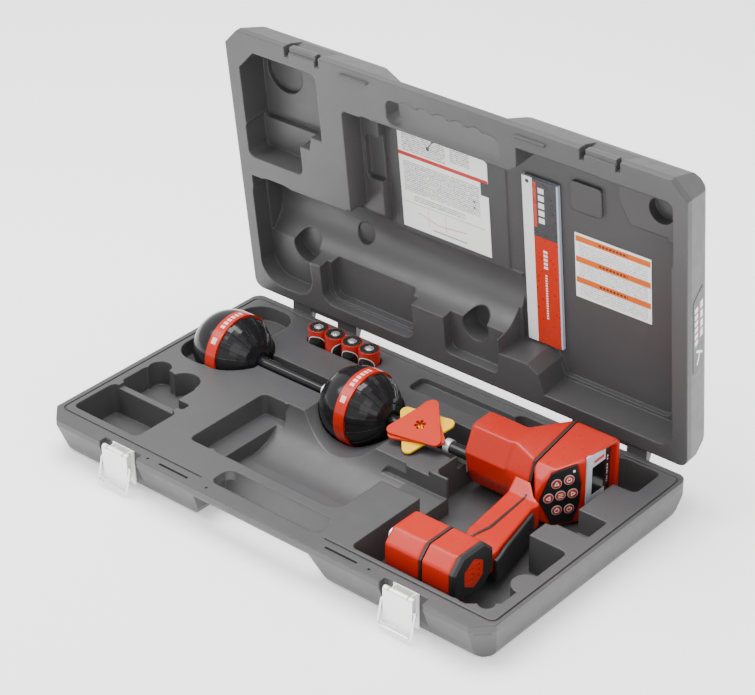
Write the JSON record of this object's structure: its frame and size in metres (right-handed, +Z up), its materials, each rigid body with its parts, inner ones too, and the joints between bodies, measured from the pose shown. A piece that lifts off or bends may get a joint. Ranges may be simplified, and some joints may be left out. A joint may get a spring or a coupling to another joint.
{
  "type": "drain line locator kit",
  "caption": "Open carry case holding a drain-line and sonde locator with two ball antennas on a mast and a pistol-grip console, loose cells and flag markers",
  "frame": {"origin": "centre of the case underside, on the ground plane", "axes": "+X along the case from the antenna end to the console end, -Y towards the handle and latches, +Y towards the hinge, +Z up"},
  "size_m": [0.64, 0.4163, 0.4226],
  "materials": {
    "case_plastic": "fine grained blow-moulded plastic",
    "hinge_steel": "plain drawn rod",
    "latch_steel": "bright pressed steel",
    "printed_paper": "printed sheet",
    "label_film": "printed self-adhesive label",
    "cover_card": "coated printed cover",
    "page_paper": "stacked page edges",
    "decal_film": "printed film decal",
    "mast_black": "glossy black tube",
    "collar_grey": "satin ring",
    "pod_black": "glossy moulded plastic",
    "band_red": "red printed band",
    "housing_red": "smooth red moulding",
    "joint_black": "black joint strip",
    "grip_rubber": "soft grip",
    "knob_silver": "turned knob",
    "keypad_black": "black keypad film",
    "key_red": "printed round key",
    "light_clear": "small clear lens",
    "bezel_silver": "printed bezel",
    "screen_dark": "dark display window",
    "cell_wrap": "printed cell jacket",
    "cell_metal": "plated cell top",
    "marker_yellow": "thin yellow plastic",
    "marker_red": "thin red-orange plastic"
  },
  "bodies": {
    "case": {"base_shell": "case_plastic", "hinge_pin_left": "hinge_steel", "hinge_pin_right": "hinge_steel", "latch_bracket_left": "latch_steel", "latch_bracket_right": "latch_steel"},
    "lid": {"lid_shell": "case_plastic", "instruction_sheet": "printed_paper", "warning_label": "label_film", "lid_side_decal": "decal_film"},
    "lever_left": {"latch_lever_left": "latch_steel"},
    "lever_right": {"latch_lever_right": "latch_steel"},
    "bail_left": {"latch_bail_left": "latch_steel"},
    "bail_right": {"latch_bail_right": "latch_steel"},
    "booklet": {"booklet_cover": "cover_card", "booklet_pages": "page_paper"},
    "locator": {"mast_tube": "mast_black", "mast_collar_left": "collar_grey", "mast_collar_right": "collar_grey", "lower_pod_dome": "pod_black", "lower_pod_band": "band_red", "lower_pod_cone": "pod_black", "middle_pod_dome": "pod_black", "middle_pod_band": "band_red", "middle_pod_cone": "pod_black", "console_neck": "housing_red", "console_seam": "joint_black", "console_head": "housing_red", "handle_arm": "housing_red", "handle_grip": "grip_rubber", "battery_box_front": "housing_red", "battery_box_seam": "joint_black", "battery_box_rear": "housing_red", "speaker_surround": "joint_black", "speaker_grille": "housing_red", "keypad_panel": "keypad_black", "status_light": "light_clear", "display_bezel": "bezel_silver", "display_screen": "screen_dark"},
    "cap": {"battery_cap": "knob_silver"},
    "plate": {"marker_plate": "marker_yellow"},
    "marker_a": {"marker_lower": "marker_red"},
    "marker_b": {"marker_upper": "marker_red"},
    "key_up_body": {"key_up": "key_red"},
    "key_sound_body": {"key_sound": "key_red"},
    "key_left_body": {"key_left": "key_red"},
    "key_select_body": {"key_select": "key_red"},
    "key_right_body": {"key_right": "key_red"},
    "key_down_body": {"key_down": "key_red"},
    "key_menu_body": {"key_menu": "key_red"},
    "cell_1": {"battery_cell_1": "cell_wrap", "cell_terminal_1": "cell_metal"},
    "cell_2": {"battery_cell_2": "cell_wrap", "cell_terminal_2": "cell_metal"},
    "cell_3": {"battery_cell_3": "cell_wrap", "cell_terminal_3": "cell_metal"},
    "cell_4": {"battery_cell_4": "cell_wrap", "cell_terminal_4": "cell_metal"}
  },
  "joints": [
    {"name": "lid_hinge", "type": "hinge", "parent": "case", "child": "lid", "pos_m": [0, 0.1858, 0.0589], "axis": [-1, 0, 0], "range_deg": [-84, 12]},
    {"name": "latch_lever_left_turn", "type": "hinge", "parent": "case", "child": "lever_left", "pos_m": [-0.2, -0.182, 0.0486], "axis": [1, 0, 0], "range_deg": [-130, 0]},
    {"name": "latch_bail_left_swing", "type": "hinge", "parent": "lever_left", "child": "bail_left", "pos_m": [-0.2, -0.1835, 0.035], "axis": [-1, 0, 0], "range_deg": [0, 178]},
    {"name": "latch_lever_right_turn", "type": "hinge", "parent": "case", "child": "lever_right", "pos_m": [0.212, -0.182, 0.0486], "axis": [1, 0, 0], "range_deg": [-130, 0]},
    {"name": "latch_bail_right_swing", "type": "hinge", "parent": "lever_right", "child": "bail_right", "pos_m": [0.212, -0.1835, 0.035], "axis": [-1, 0, 0], "range_deg": [0, 178]},
    {"name": "locator_lift", "type": "slide", "parent": "case", "child": "locator", "axis": [0, 0, 1], "range_m": [0, 0.12]},
    {"name": "key_up_press", "type": "slide", "parent": "locator", "child": "key_up_body", "axis": [-0.848, 0.5299, 0], "range_m": [0, 0.0009], "stiffness_N_per_m": 500},
    {"name": "key_sound_press", "type": "slide", "parent": "locator", "child": "key_sound_body", "axis": [-0.848, 0.5299, 0], "range_m": [0, 0.0009], "stiffness_N_per_m": 500},
    {"name": "key_left_press", "type": "slide", "parent": "locator", "child": "key_left_body", "axis": [-0.848, 0.5299, 0], "range_m": [0, 0.0009], "stiffness_N_per_m": 500},
    {"name": "key_select_press", "type": "slide", "parent": "locator", "child": "key_select_body", "axis": [-0.848, 0.5299, 0], "range_m": [0, 0.0009], "stiffness_N_per_m": 500},
    {"name": "key_right_press", "type": "slide", "parent": "locator", "child": "key_right_body", "axis": [-0.848, 0.5299, 0], "range_m": [0, 0.0009], "stiffness_N_per_m": 500},
    {"name": "key_down_press", "type": "slide", "parent": "locator", "child": "key_down_body", "axis": [-0.848, 0.5299, 0], "range_m": [0, 0.0009], "stiffness_N_per_m": 500},
    {"name": "key_menu_press", "type": "slide", "parent": "locator", "child": "key_menu_body", "axis": [-0.848, 0.5299, 0], "range_m": [0, 0.0009], "stiffness_N_per_m": 500},
    {"name": "battery_cap_turn", "type": "hinge", "parent": "locator", "child": "cap", "pos_m": [0.1478, -0.11, 0.054], "axis": [1, 0, 0], "range_deg": [0, 90]},
    {"name": "battery_cell_1_lift", "type": "slide", "parent": "case", "child": "cell_1", "axis": [0, 0, 1], "range_m": [0, 0.08]},
    {"name": "battery_cell_2_lift", "type": "slide", "parent": "case", "child": "cell_2", "axis": [0, 0, 1], "range_m": [0, 0.08]},
    {"name": "battery_cell_3_lift", "type": "slide", "parent": "case", "child": "cell_3", "axis": [0, 0, 1], "range_m": [0, 0.08]},
    {"name": "battery_cell_4_lift", "type": "slide", "parent": "case", "child": "cell_4", "axis": [0, 0, 1], "range_m": [0, 0.08]},
    {"name": "marker_plate_lift", "type": "slide", "parent": "locator", "child": "plate", "axis": [0, 0, 1], "range_m": [0, 0.03]},
    {"name": "marker_lower_lift", "type": "slide", "parent": "plate", "child": "marker_a", "axis": [0, 0, 1], "range_m": [0, 0.03]},
    {"name": "marker_upper_lift", "type": "slide", "parent": "marker_a", "child": "marker_b", "axis": [0, 0, 1], "range_m": [0, 0.03]},
    {"name": "booklet_slide", "type": "slide", "parent": "lid", "child": "booklet", "axis": [0, -0.9945, -0.1045], "range_m": [0, 0.06]}
  ]
}
